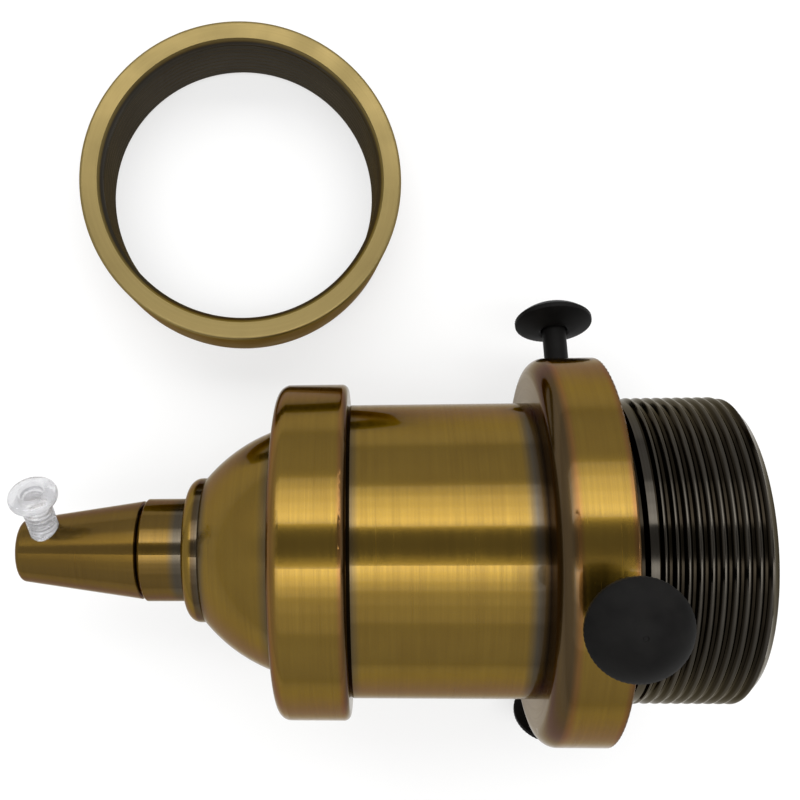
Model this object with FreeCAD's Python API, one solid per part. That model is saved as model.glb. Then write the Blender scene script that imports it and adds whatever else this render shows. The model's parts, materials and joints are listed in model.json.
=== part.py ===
"""Pendant lamp holder for a screw-base bulb, lying on its side, with its shade ring taken off beside it.

Every piece of the holder is built in the holder's own frame: the axis runs along +X from the tip of
the cord grip (x = 0) to the mouth, and +Z is up. One placement then lays the holder on its two rims
and one thumbscrew, on the plane z = 0. All lengths are in millimetres and all angles in degrees.
"""
import FreeCAD, Part
import math
import os
from FreeCAD import Vector

# Clearances
THREAD_PLAY = 0.05        # radial play between the two halves of a plain-cylinder thread
LOOSE_PLAY = 0.15         # radial play where one piece only drops into another
EDGE = 0.3                # small broken edges

# Cord grip: the turned cone at the cord end
GRIP_LENGTH = 17.2
GRIP_TIP_RADIUS = 4.2
GRIP_BASE_RADIUS = 6.65
GRIP_TIP_ROUND = 0.8
GRIP_THREAD_DEPTH = 5.2
GROOVE = 0.4              # chamfers that leave the dark line between grip and neck
CORD_BORE = 3.1

# Clear screw that pinches the cord
GRIP_SCREW_STATION = 3.9
GRIP_SCREW_ANGLE = 45.0
GRIP_SCREW_RADIUS = 2.0
GRIP_SCREW_HEAD_RADIUS = 3.25
GRIP_SCREW_HEAD_TOP = 12.0
GRIP_SCREW_RIM = 1.0
GRIP_SCREW_FLARE = 2.4
GRIP_SCREW_RECESS = 1.6
GRIP_SCREW_RECESS_DEPTH = 1.4

# Neck collar
NECK_LENGTH = 6.2
NECK_RADIUS = 6.95

# Hollow nipple and its locknut
NIPPLE_RADIUS = 5.0
NIPPLE_BORE = 3.6
NIPPLE_END_GAP = 0.2
NIPPLE_PROUD = 1.1
LOCKNUT_ACROSS_FLATS = 12.0
LOCKNUT_THICKNESS = 3.0

# Cap: lip, dome and rim, turned from one piece
LIP_LENGTH = 2.3
LIP_RADIUS = 9.75
LIP_ROUND = 1.6
LIP_WALL = 1.15
CAP_FLOOR = 1.7
DOME_LENGTH = 10.1
DOME_STEP = 3.1           # from the barrel's outside down to the end of the dome
DOME_BULGE = 0.85
DOME_WALL = 1.4
CAP_RIM_LENGTH = 9.3
CAP_RIM_STEP = 2.8        # from the barrel's outside up to the rim
CAP_RIM_ROUND = 1.6
CAP_RIM_BACK_ROUND = 0.9

# Earth tag, clamped under the locknut
EARTH_TAG_THICKNESS = 0.8
EARTH_TAG_RADIUS = 7.5
EARTH_TAG_WIDTH = 4.6
EARTH_TAG_REACH = 13.0
EARTH_LEG_INSIDE = 7.0
EARTH_SCREW_RADIUS = 1.7
EARTH_SCREW_HEAD_RADIUS = 2.9
EARTH_SCREW_HEAD = 1.8
EARTH_SCREW_TAIL = 2.2
EARTH_SCREW_INSET = 4.0

# Barrel
BARREL_LENGTH = 23.6
BARREL_WALL = 1.35
SPIGOT_STEP = 0.5         # from the barrel's outside down to its spigot
SPIGOT_LENGTH = 7.0
BARREL_CHAMFER = 0.4
SEAT_FLANGE_WIDTH = 2.65
SEAT_FLANGE_THICKNESS = 1.0

# Gallery ring with its three thumbscrews
GALLERY_LENGTH = 8.85
GALLERY_ROUND = 2.4
GALLERY_WEB = 2.5
GALLERY_CHANNEL = 4.85    # room for a shade's neck around the sleeve
GALLERY_SKIRT_WALL = 1.7
THUMB_COUNT = 3
THUMB_STATION = 6.2       # from the face of the gallery ring
THUMB_STEM_RADIUS = 1.7
THUMB_TIP_GAP = 3.1       # from the tip to the sleeve
THUMB_STEM_LENGTH = 12.0
THUMB_HEAD_RADIUS = 5.55
THUMB_HEAD_RIM = 0.7
THUMB_DOME = 2.3
THUMB_LIFT = 0.05         # air under the thumbscrew that props the holder

# Threaded sleeve at the mouth, whose thread sets the radii around it
SLEEVE_THREAD_RADIUS = 20.0
SLEEVE_THREAD_RISE = 1.1  # of the thread above the plain part behind it
SLEEVE_WALL = 3.0
SLEEVE_SHOULDER = 0.8     # of the plain part over the tail that enters the barrel
SLEEVE_TAIL_LENGTH = 8.7
SLEEVE_PLAIN_LENGTH = 8.2
SLEEVE_THREAD_LENGTH = 15.2
SLEEVE_MOUTH_CHAMFER = 0.7

# Porcelain insert
INSERT_PLAY = 0.2         # inside the sleeve
INSERT_FLANGE_THICKNESS = 3.0
INSERT_BOSS_PLAY = 0.3    # inside the barrel's seat flange
INSERT_BOSS_LENGTH = 7.0
INSERT_FLOOR = 9.0        # porcelain between the back of the flange and the shell
INSERT_RECESS = 2.0       # of its front rim behind the mouth
INSERT_RIM_ROUND = 1.0
WASHER_THICKNESS = 0.5

# Screw shell for the bulb
SHELL_BORE = 13.3
SHELL_WALL = 0.4
SHELL_RECESS = 2.1        # of its edge behind the porcelain rim
SHELL_FLOOR_WIDTH = 4.7
SHELL_CORNER = 1.2        # inside bend between its floor and its wall

# Centre contact and its pocket
POCKET_STEP = 0.6         # inside the hole in the shell's floor
POCKET_DEPTH = 4.5
PAD_RADIUS = 1.5
PAD_HEIGHT = 0.8
CONTACT_AIR = 0.35
CONTACT_THICKNESS = 0.4
CONTACT_WIDTH = 4.5
CONTACT_TAIL = 1.2
CONTACT_FOOT = 2.7
CONTACT_CROWN_PAST_AXIS = 1.5
CONTACT_CROWN_RISE = 3.2
CONTACT_NOSE = 1.5
CONTACT_NOSE_DROP = 0.8

# Terminals
TERMINAL_INSIDE = 4.6
TERMINAL_OUTSIDE = 12.5
TERMINAL_WIDTH = 6.0
TERMINAL_LENGTH = 6.0
TERMINAL_POCKET_DEPTH = 6.5
WIRE_HOLE_RADIUS = 1.4
WIRE_HOLE_OFFSET = 9.0
WIRE_HOLE_DEPTH = 4.0
TERMINAL_SCREW_RADIUS = 1.25
TERMINAL_SCREW_INSET = 2.5
TERMINAL_SCREW_HEAD_RADIUS = 2.2
TERMINAL_SCREW_HEAD = 1.3
TERMINAL_SCREW_BITE = 2.5
SLOT_WIDTH = 0.7
SLOT_DEPTH = 0.7

# Rivets
RIVET_RADIUS = 1.0
RIVET_HEAD_RADIUS = 1.6
RIVET_HEAD = 0.6
RIVET_GRIP = 1.6          # length inside a terminal
LIVE_RIVET_OFFSET = 6.2
SHELL_RIVET_INSET = 3.0   # from the shell's wall
RIVET_POCKET_RADIUS = 2.4

# Shade ring, taken off and lying flat
SHADE_RING_WALL = 3.45
SHADE_RING_HEIGHT = 13.0
SHADE_RING_THREAD_PLAY = 0.15
SHADE_RING_CHAMFER = 0.85
SHADE_RING_ROUND = 0.5
SHADE_RING_AHEAD = 30.0   # of the cord grip's tip, along the holder
SHADE_RING_APART = 7.25   # between the shade ring and the cap's rim

# Radii that follow from the mouth thread, from the inside out
SLEEVE_BORE = SLEEVE_THREAD_RADIUS - SLEEVE_WALL
SLEEVE_PLAIN_RADIUS = SLEEVE_THREAD_RADIUS - SLEEVE_THREAD_RISE
TAIL_RADIUS = SLEEVE_PLAIN_RADIUS - SLEEVE_SHOULDER
BARREL_BORE = TAIL_RADIUS + THREAD_PLAY
BARREL_RADIUS = BARREL_BORE + BARREL_WALL
SPIGOT_RADIUS = BARREL_RADIUS - SPIGOT_STEP
SEAT_FLANGE_BORE = BARREL_BORE - SEAT_FLANGE_WIDTH
CAP_RIM_RADIUS = BARREL_RADIUS + CAP_RIM_STEP
DOME_END_RADIUS = BARREL_RADIUS - DOME_STEP
GALLERY_SKIRT_BORE = SLEEVE_PLAIN_RADIUS + GALLERY_CHANNEL
GALLERY_RADIUS = GALLERY_SKIRT_BORE + GALLERY_SKIRT_WALL
THUMB_TIP = SLEEVE_PLAIN_RADIUS + THUMB_TIP_GAP
INSERT_RADIUS = SLEEVE_BORE - INSERT_PLAY
INSERT_BOSS_RADIUS = SEAT_FLANGE_BORE - INSERT_BOSS_PLAY
SHADE_RING_BORE = SLEEVE_THREAD_RADIUS + SHADE_RING_THREAD_PLAY
SHADE_RING_RADIUS = SHADE_RING_BORE + SHADE_RING_WALL

# Radii that follow from the bulb's shell
SHELL_OUTSIDE = SHELL_BORE + SHELL_WALL
SHELL_FLOOR_BORE = SHELL_BORE - SHELL_FLOOR_WIDTH
SHELL_RIVET_OFFSET = SHELL_BORE - SHELL_RIVET_INSET
POCKET_RADIUS = SHELL_FLOOR_BORE - POCKET_STEP

# Stations along the axis, each where a piece or a step begins
NECK_START = GRIP_LENGTH
LIP_START = NECK_START + NECK_LENGTH
DOME_START = LIP_START + LIP_LENGTH
CAP_RIM_START = DOME_START + DOME_LENGTH
BARREL_START = CAP_RIM_START + CAP_RIM_LENGTH
GALLERY_START = BARREL_START + BARREL_LENGTH
SKIRT_START = GALLERY_START + GALLERY_WEB
SLEEVE_THREAD_START = SKIRT_START + SLEEVE_PLAIN_LENGTH
MOUTH = SLEEVE_THREAD_START + SLEEVE_THREAD_LENGTH
TAIL_END = SKIRT_START - SLEEVE_TAIL_LENGTH
INSERT_BACK = TAIL_END - INSERT_FLANGE_THICKNESS
SEAT_FACE = INSERT_BACK - WASHER_THICKNESS
BOSS_BACK = INSERT_BACK - INSERT_BOSS_LENGTH
SHELL_START = INSERT_BACK + INSERT_FLOOR
INSERT_FRONT = MOUTH - INSERT_RECESS
SHELL_END = INSERT_FRONT - SHELL_RECESS
POCKET_FLOOR = SHELL_START - POCKET_DEPTH
PAD_FACE = POCKET_FLOOR + PAD_HEIGHT
TERMINAL_FACE = BOSS_BACK + TERMINAL_POCKET_DEPTH
CAP_FLOOR_FACE = LIP_START + CAP_FLOOR
LOCKNUT_START = CAP_FLOOR_FACE + EARTH_TAG_THICKNESS
NIPPLE_END = LOCKNUT_START + LOCKNUT_THICKNESS + NIPPLE_PROUD
THUMB_CENTRE = GALLERY_START + THUMB_STATION
THUMB_HEAD_FACE = THUMB_TIP + THUMB_STEM_LENGTH
THUMB_RIM_OUTSIDE = THUMB_HEAD_FACE + THUMB_HEAD_RIM

LIVE_SIDE = 90.0
NEUTRAL_SIDE = -90.0
AXIAL = Vector(1, 0, 0)


def rest_tilt():
    """Tilt at which the rounded front corners of both rims touch the floor."""
    run = (GALLERY_START + GALLERY_ROUND) - (CAP_RIM_START + CAP_RIM_ROUND)
    rise = (CAP_RIM_RADIUS - CAP_RIM_ROUND) - (GALLERY_RADIUS - GALLERY_ROUND)
    step = GALLERY_ROUND - CAP_RIM_ROUND
    reach = math.sqrt(run ** 2 + rise ** 2 - step ** 2)
    return math.atan2(step, reach) - math.atan2(rise, run)


def axis_height(station):
    """Height of the axis above the floor at a station, once the holder lies at rest."""
    tilt = rest_tilt()
    corner_station = CAP_RIM_START + CAP_RIM_ROUND
    corner_radius = CAP_RIM_RADIUS - CAP_RIM_ROUND
    at_tip = CAP_RIM_ROUND + corner_radius * math.cos(tilt) - corner_station * math.sin(tilt)
    return at_tip + station * math.sin(tilt)


def prop_angle():
    """Angle from straight up, towards -Y, of the thumbscrew whose head touches the floor."""
    height = axis_height(THUMB_CENTRE) - THUMB_LIFT
    reach = math.hypot(THUMB_RIM_OUTSIDE, THUMB_HEAD_RADIUS)
    lean = math.atan2(THUMB_HEAD_RADIUS, THUMB_RIM_OUTSIDE) + math.acos(height / reach)
    return 180.0 - math.degrees(math.acos(math.cos(lean) / math.cos(rest_tilt())))


def thumb_angles():
    """Angles of the thumbscrews from straight up, positive towards +Y."""
    first = -prop_angle()
    return [first + 360.0 / THUMB_COUNT * (index + 1) for index in range(THUMB_COUNT)]


def corner_points(before, corner, after):
    """Start, middle and end of the fillet of a profile corner, or the bare corner."""
    point = Vector(corner[0], 0, corner[1])
    radius = corner[2] if len(corner) > 2 else 0.0
    if radius == 0.0:
        return [point]
    back = (Vector(before[0], 0, before[1]) - point).normalize()
    ahead = (Vector(after[0], 0, after[1]) - point).normalize()
    half = back.getAngle(ahead) / 2
    run = radius / math.tan(half)
    inward = (back + ahead).normalize()
    middle = point + inward * (radius / math.sin(half) - radius)
    return [point + back * run, middle, point + ahead * run]


def profile_face(corners):
    """Face bounded by (station, radius) corners; a third number rounds the corner."""
    count = len(corners)
    stops = [corner_points(corners[i - 1], corners[i], corners[(i + 1) % count]) for i in range(count)]
    edges = []
    for index, stop in enumerate(stops):
        if len(stop) == 3:
            edges.append(Part.Arc(stop[0], stop[1], stop[2]).toShape())
        following = stops[(index + 1) % count]
        edges.append(Part.LineSegment(stop[-1], following[0]).toShape())
    return Part.Face(Part.Wire(edges))


def turned(corners):
    """Solid of revolution about the holder's axis."""
    return profile_face(corners).revolve(Vector(0, 0, 0), AXIAL, 360)


def rod(start, end, radius, offset=0.0, angle=0.0):
    """Cylinder along the axis between two stations, off the axis towards the angle."""
    solid = Part.makeCylinder(radius, end - start, Vector(start, 0, offset), AXIAL)
    return turned_to(solid, angle)


def turned_to(shape, angle):
    """Shape turned about the holder's axis from straight up towards +Y."""
    shape.rotate(Vector(0, 0, 0), AXIAL, -angle)
    return shape


def radial(shape, station, angle):
    """Shape built along +X, stood out from the axis at a station, towards an angle."""
    shape.rotate(Vector(0, 0, 0), Vector(0, 1, 0), -90)
    shape.translate(Vector(station, 0, 0))
    return turned_to(shape, angle)


def radial_hole(inside, outside, radius, station, angle):
    """Cylinder that cuts a radial hole."""
    return radial(rod(inside, outside, radius), station, angle)


def block(start, end, inside, outside, width, angle):
    """Box between two stations and two distances from the axis, towards an angle."""
    corner = Vector(start, -width / 2, inside)
    return turned_to(Part.makeBox(end - start, width, outside - inside, corner), angle)


def ribbon(points, thickness, width):
    """Bent strip along (station, height) points, centred on its middle line and its width."""
    path = [Vector(x, 0, z) for x, z in points]
    runs = [(path[i + 1] - path[i]).normalize() for i in range(len(path) - 1)]
    normals = [Vector(-run.z, 0, run.x) for run in runs]
    sides = []
    for index in range(len(path)):
        first = normals[max(index - 1, 0)]
        second = normals[min(index, len(normals) - 1)]
        mitre = (first + second).normalize()
        sides.append(mitre * (thickness / 2 / mitre.dot(first)))
    above = [path[i] + sides[i] for i in range(len(path))]
    below = [path[i] - sides[i] for i in range(len(path))]
    outline = above + below[::-1] + above[:1]
    solid = Part.Face(Part.makePolygon(outline)).extrude(Vector(0, width, 0))
    solid.translate(Vector(0, -width / 2, 0))
    return solid


def cord_grip():
    """Cone with the cord's bore, the nipple's thread and the pinch screw's hole."""
    thread = NIPPLE_RADIUS + THREAD_PLAY
    thread_start = GRIP_LENGTH - GRIP_THREAD_DEPTH
    body = turned([
        (0, CORD_BORE, EDGE),
        (0, GRIP_TIP_RADIUS, GRIP_TIP_ROUND),
        (GRIP_LENGTH - GROOVE, GRIP_BASE_RADIUS),
        (GRIP_LENGTH, GRIP_BASE_RADIUS - GROOVE),
        (GRIP_LENGTH, thread),
        (thread_start, thread),
        (thread_start, CORD_BORE),
    ])
    hole = GRIP_SCREW_RADIUS + THREAD_PLAY
    cutter = radial_hole(0, GRIP_BASE_RADIUS, hole, GRIP_SCREW_STATION, GRIP_SCREW_ANGLE)
    return body.cut(cutter)


def grip_screw():
    """Clear screw with a round recess in its head."""
    tip = CORD_BORE + LOOSE_PLAY
    rim = GRIP_SCREW_HEAD_TOP - GRIP_SCREW_RIM
    recess = GRIP_SCREW_HEAD_TOP - GRIP_SCREW_RECESS_DEPTH
    screw = turned([
        (tip, 0),
        (tip, GRIP_SCREW_RADIUS - EDGE),
        (tip + EDGE, GRIP_SCREW_RADIUS),
        (rim - GRIP_SCREW_FLARE, GRIP_SCREW_RADIUS),
        (rim, GRIP_SCREW_HEAD_RADIUS),
        (GRIP_SCREW_HEAD_TOP, GRIP_SCREW_HEAD_RADIUS, EDGE),
        (GRIP_SCREW_HEAD_TOP, GRIP_SCREW_RECESS),
        (recess, GRIP_SCREW_RECESS - EDGE),
        (recess, 0),
    ])
    return radial(screw, GRIP_SCREW_STATION, GRIP_SCREW_ANGLE)


def neck_collar():
    """Plain collar between cord grip and cap."""
    bore = NIPPLE_RADIUS + LOOSE_PLAY
    return turned([
        (NECK_START, bore),
        (NECK_START, NECK_RADIUS - GROOVE),
        (NECK_START + GROOVE, NECK_RADIUS),
        (LIP_START, NECK_RADIUS),
        (LIP_START, bore),
    ])


def nipple():
    """Hollow threaded tube that joins cord grip, neck and cap."""
    start = GRIP_LENGTH - GRIP_THREAD_DEPTH + NIPPLE_END_GAP
    return turned([
        (start, NIPPLE_BORE),
        (start, NIPPLE_RADIUS - EDGE),
        (start + EDGE, NIPPLE_RADIUS),
        (NIPPLE_END - EDGE, NIPPLE_RADIUS),
        (NIPPLE_END, NIPPLE_RADIUS - EDGE),
        (NIPPLE_END, NIPPLE_BORE),
    ])


def nipple_locknut():
    """Hexagon nut that clamps the cap and the earth tag to the neck."""
    corner = LOCKNUT_ACROSS_FLATS / 2 / math.cos(math.pi / 6)
    angles = [math.radians(60 * index) for index in range(7)]
    points = [Vector(LOCKNUT_START, corner * math.sin(a), corner * math.cos(a)) for a in angles]
    nut = Part.Face(Part.makePolygon(points)).extrude(Vector(LOCKNUT_THICKNESS, 0, 0))
    end = LOCKNUT_START + LOCKNUT_THICKNESS
    return nut.cut(rod(LOCKNUT_START, end, NIPPLE_RADIUS + THREAD_PLAY))


def dome_arc(start, end, bulge):
    """Arc between two (station, radius) points that stands out from its chord."""
    first = Vector(start[0], 0, start[1])
    last = Vector(end[0], 0, end[1])
    chord = (last - first).normalize()
    outward = Vector(-chord.z, 0, chord.x)
    middle = (first + last) * 0.5 + outward * bulge
    return Part.Arc(first, middle, last).toShape()


def dome_solid(inset, start, end):
    """Solid under the dome's curve, set in from the outside by a wall."""
    outer_start = (start, LIP_RADIUS - inset)
    outer_end = (end, DOME_END_RADIUS - inset)
    curve = dome_arc(outer_start, outer_end, DOME_BULGE)
    foot_start = Vector(start, 0, 0)
    foot_end = Vector(end, 0, 0)
    edges = [
        Part.LineSegment(foot_start, curve.Vertexes[0].Point).toShape(),
        curve,
        Part.LineSegment(curve.Vertexes[1].Point, foot_end).toShape(),
        Part.LineSegment(foot_end, foot_start).toShape(),
    ]
    return Part.Face(Part.Wire(edges)).revolve(Vector(0, 0, 0), AXIAL, 360)


def cap():
    """Dome with its lip and its wide rim, hollow, threaded inside the rim."""
    lip = turned([
        (LIP_START, 0),
        (LIP_START, LIP_RADIUS, LIP_ROUND),
        (DOME_START, LIP_RADIUS),
        (DOME_START, 0),
    ])
    rim = turned([
        (CAP_RIM_START, 0),
        (CAP_RIM_START, CAP_RIM_RADIUS, CAP_RIM_ROUND),
        (BARREL_START, CAP_RIM_RADIUS, CAP_RIM_BACK_ROUND),
        (BARREL_START, 0),
    ])
    outside = lip.fuse([dome_solid(0, DOME_START, CAP_RIM_START), rim])
    lip_bore = rod(CAP_FLOOR_FACE, DOME_START + DOME_WALL, LIP_RADIUS - LIP_WALL)
    dome_end = CAP_RIM_START + DOME_WALL
    hollow = dome_solid(DOME_WALL, DOME_START + DOME_WALL, dome_end)
    thread_start = BARREL_START - SPIGOT_LENGTH - LOOSE_PLAY
    passage = rod(min(dome_end, thread_start), thread_start + EDGE, DOME_END_RADIUS - DOME_WALL)
    thread = rod(thread_start, BARREL_START, SPIGOT_RADIUS + THREAD_PLAY)
    neck_hole = rod(LIP_START, CAP_FLOOR_FACE, NIPPLE_RADIUS + LOOSE_PLAY)
    return outside.cut([lip_bore, hollow, passage, thread, neck_hole]).removeSplitter()


def earth_tag():
    """Washer under the locknut with a leg that carries the earth screw."""
    washer = rod(CAP_FLOOR_FACE, LOCKNUT_START, EARTH_TAG_RADIUS)
    leg_end = CAP_FLOOR_FACE + EARTH_TAG_REACH
    leg_outside = EARTH_LEG_INSIDE + EARTH_TAG_THICKNESS
    leg = block(CAP_FLOOR_FACE, leg_end, EARTH_LEG_INSIDE, leg_outside, EARTH_TAG_WIDTH, 0)
    root = block(CAP_FLOOR_FACE, LOCKNUT_START, 0, leg_outside, EARTH_TAG_WIDTH, 0)
    tag = washer.fuse([root, leg])
    bore = rod(CAP_FLOOR_FACE, LOCKNUT_START, NIPPLE_RADIUS + LOOSE_PLAY)
    hole_station = leg_end - EARTH_SCREW_INSET
    hole = radial_hole(0, leg_outside, EARTH_SCREW_RADIUS + THREAD_PLAY, hole_station, 0)
    return tag.cut([bore, hole.common(leg)]).removeSplitter()


def slotted_screw(tip, head_face, shank, head_radius, head):
    """Cheese-head screw along +X with its slot cut in the head."""
    top = head_face + head
    screw = turned([
        (tip, 0),
        (tip, shank - EDGE / 2),
        (tip + EDGE / 2, shank),
        (head_face, shank),
        (head_face, head_radius),
        (top, head_radius, EDGE),
        (top, 0),
    ])
    slot_corner = Vector(top - SLOT_DEPTH, -SLOT_WIDTH / 2, -head_radius)
    slot = Part.makeBox(SLOT_DEPTH, SLOT_WIDTH, 2 * head_radius, slot_corner)
    return screw.cut(slot)


def earth_screw():
    """Screw in the earth tag's leg, its head towards the axis."""
    leg_outside = EARTH_LEG_INSIDE + EARTH_TAG_THICKNESS
    tip = -(leg_outside + EARTH_SCREW_TAIL)
    screw = slotted_screw(
        tip, -EARTH_LEG_INSIDE, EARTH_SCREW_RADIUS, EARTH_SCREW_HEAD_RADIUS, EARTH_SCREW_HEAD)
    station = CAP_FLOOR_FACE + EARTH_TAG_REACH - EARTH_SCREW_INSET
    return radial(screw, station, 180)


def barrel():
    """Tube with a spigot for the cap and an inner flange that seats the insert."""
    spigot_end = BARREL_START - SPIGOT_LENGTH
    flange_back = SEAT_FACE - SEAT_FLANGE_THICKNESS
    return turned([
        (spigot_end, BARREL_BORE),
        (spigot_end, SPIGOT_RADIUS - EDGE),
        (spigot_end + EDGE, SPIGOT_RADIUS),
        (BARREL_START, SPIGOT_RADIUS),
        (BARREL_START, BARREL_RADIUS - BARREL_CHAMFER / 2),
        (BARREL_START + BARREL_CHAMFER, BARREL_RADIUS),
        (GALLERY_START, BARREL_RADIUS),
        (GALLERY_START, BARREL_BORE),
        (SEAT_FACE, BARREL_BORE),
        (SEAT_FACE, SEAT_FLANGE_BORE),
        (flange_back, SEAT_FLANGE_BORE),
        (flange_back, BARREL_BORE),
    ])


def gallery_ring():
    """Channel ring for a shade's neck, with a hole for each thumbscrew."""
    rim_end = GALLERY_START + GALLERY_LENGTH
    ring = turned([
        (GALLERY_START, BARREL_BORE),
        (GALLERY_START, GALLERY_RADIUS, GALLERY_ROUND),
        (rim_end, GALLERY_RADIUS, EDGE),
        (rim_end, GALLERY_SKIRT_BORE, EDGE),
        (SKIRT_START, GALLERY_SKIRT_BORE, EDGE),
        (SKIRT_START, BARREL_BORE),
    ])
    hole = THUMB_STEM_RADIUS + THREAD_PLAY
    for angle in thumb_angles():
        ring = ring.cut(radial_hole(SLEEVE_THREAD_RADIUS, GALLERY_RADIUS + EDGE, hole, THUMB_CENTRE, angle))
    return ring


def thumb_screw(angle):
    """Mushroom-headed screw through the gallery ring's skirt."""
    stem = turned([
        (THUMB_TIP, 0),
        (THUMB_TIP, THUMB_STEM_RADIUS - EDGE),
        (THUMB_TIP + EDGE, THUMB_STEM_RADIUS),
        (THUMB_HEAD_FACE, THUMB_STEM_RADIUS),
        (THUMB_HEAD_FACE, THUMB_HEAD_RADIUS, EDGE / 2),
        (THUMB_RIM_OUTSIDE, THUMB_HEAD_RADIUS),
        (THUMB_RIM_OUTSIDE, 0),
    ])
    ball = (THUMB_HEAD_RADIUS ** 2 + THUMB_DOME ** 2) / (2 * THUMB_DOME)
    centre = THUMB_RIM_OUTSIDE + THUMB_DOME - ball
    dome = Part.makeSphere(ball, Vector(centre, 0, 0))
    above = rod(THUMB_RIM_OUTSIDE, THUMB_RIM_OUTSIDE + THUMB_DOME + EDGE, THUMB_HEAD_RADIUS + EDGE)
    return radial(stem.fuse(dome.common(above)), THUMB_CENTRE, angle)


def threaded_sleeve():
    """Sleeve screwed into the barrel, threaded outside at the mouth for the shade ring."""
    return turned([
        (TAIL_END, SLEEVE_BORE),
        (TAIL_END, TAIL_RADIUS - EDGE),
        (TAIL_END + EDGE, TAIL_RADIUS),
        (SKIRT_START, TAIL_RADIUS),
        (SKIRT_START, SLEEVE_PLAIN_RADIUS),
        (SLEEVE_THREAD_START, SLEEVE_PLAIN_RADIUS),
        (SLEEVE_THREAD_START + SLEEVE_THREAD_RISE, SLEEVE_THREAD_RADIUS),
        (MOUTH - SLEEVE_MOUTH_CHAMFER, SLEEVE_THREAD_RADIUS),
        (MOUTH, SLEEVE_THREAD_RADIUS - SLEEVE_MOUTH_CHAMFER),
        (MOUTH, SLEEVE_BORE + EDGE),
        (MOUTH - EDGE, SLEEVE_BORE),
    ])


def insulating_washer():
    """Fibre washer between the barrel's flange and the porcelain."""
    outer = rod(SEAT_FACE, INSERT_BACK, BARREL_BORE - THREAD_PLAY)
    return outer.cut(rod(SEAT_FACE, INSERT_BACK, SEAT_FLANGE_BORE))


def insert_body():
    """Porcelain insert with the shell's bore, the contact's pocket and the terminals' pockets."""
    bore = SHELL_OUTSIDE + LOOSE_PLAY
    flange_radius = BARREL_BORE - LOOSE_PLAY
    body = turned([
        (BOSS_BACK, 0),
        (BOSS_BACK, INSERT_BOSS_RADIUS, EDGE),
        (INSERT_BACK, INSERT_BOSS_RADIUS),
        (INSERT_BACK, flange_radius),
        (TAIL_END, flange_radius),
        (TAIL_END, INSERT_RADIUS),
        (INSERT_FRONT, INSERT_RADIUS, INSERT_RIM_ROUND),
        (INSERT_FRONT, bore, INSERT_RIM_ROUND),
        (SHELL_START, bore),
        (SHELL_START, 0),
    ])
    pad = rod(POCKET_FLOOR, PAD_FACE, PAD_RADIUS, LIVE_RIVET_OFFSET, LIVE_SIDE)
    cuts = [rod(POCKET_FLOOR, SHELL_START, POCKET_RADIUS).cut(pad)]
    for side in (LIVE_SIDE, NEUTRAL_SIDE):
        inside = TERMINAL_INSIDE - LOOSE_PLAY
        width = TERMINAL_WIDTH + 2 * LOOSE_PLAY
        cuts.append(block(BOSS_BACK, TERMINAL_FACE, inside, INSERT_BOSS_RADIUS, width, side))
    hole = RIVET_RADIUS + THREAD_PLAY
    cuts.append(rod(TERMINAL_FACE, PAD_FACE, hole, LIVE_RIVET_OFFSET, LIVE_SIDE))
    cuts.append(rod(TERMINAL_FACE, SHELL_START, hole, SHELL_RIVET_OFFSET, NEUTRAL_SIDE))
    for angle in shell_rivet_angles():
        cuts.append(rod(BOSS_BACK, shell_rivet_seat(), RIVET_POCKET_RADIUS, SHELL_RIVET_OFFSET, angle))
        cuts.append(rod(shell_rivet_seat(), SHELL_START, hole, SHELL_RIVET_OFFSET, angle))
    return body.cut(cuts)


def shell_rivet_angles():
    """The two rivets that hold the shell stand square to the terminals."""
    return (LIVE_SIDE - 90.0, LIVE_SIDE + 90.0)


def shell_rivet_seat():
    """Station where the back heads of the shell's rivets bear on the porcelain."""
    return INSERT_BACK + RIVET_HEAD


def screw_shell():
    """Sheet shell that takes the bulb, open in the middle of its floor."""
    floor_face = SHELL_START + SHELL_WALL
    shell = turned([
        (SHELL_START, SHELL_FLOOR_BORE),
        (SHELL_START, SHELL_OUTSIDE, SHELL_CORNER + SHELL_WALL),
        (SHELL_END, SHELL_OUTSIDE),
        (SHELL_END, SHELL_BORE),
        (floor_face, SHELL_BORE, SHELL_CORNER),
        (floor_face, SHELL_FLOOR_BORE),
    ])
    for angle in (NEUTRAL_SIDE,) + shell_rivet_angles():
        shell = shell.cut(rod(SHELL_START, floor_face, RIVET_RADIUS + THREAD_PLAY, SHELL_RIVET_OFFSET, angle))
    return shell


def contact_height():
    """Station of the middle of the contact's foot."""
    return PAD_FACE + CONTACT_AIR + CONTACT_THICKNESS / 2


def centre_contact():
    """Sprung leaf that rises from its rivet to the middle of the shell."""
    foot = contact_height()
    crown = foot + CONTACT_CROWN_RISE
    leaf = ribbon([
        (foot, LIVE_RIVET_OFFSET + CONTACT_TAIL),
        (foot, LIVE_RIVET_OFFSET - CONTACT_FOOT),
        (crown, CONTACT_NOSE / 2 - CONTACT_CROWN_PAST_AXIS + CONTACT_NOSE),
        (crown, -CONTACT_CROWN_PAST_AXIS),
        (crown - CONTACT_NOSE_DROP, -CONTACT_CROWN_PAST_AXIS - CONTACT_NOSE),
    ], CONTACT_THICKNESS, CONTACT_WIDTH)
    hole = rod(PAD_FACE, crown, RIVET_RADIUS + EDGE, LIVE_RIVET_OFFSET)
    return turned_to(leaf.cut(hole), LIVE_SIDE)


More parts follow.
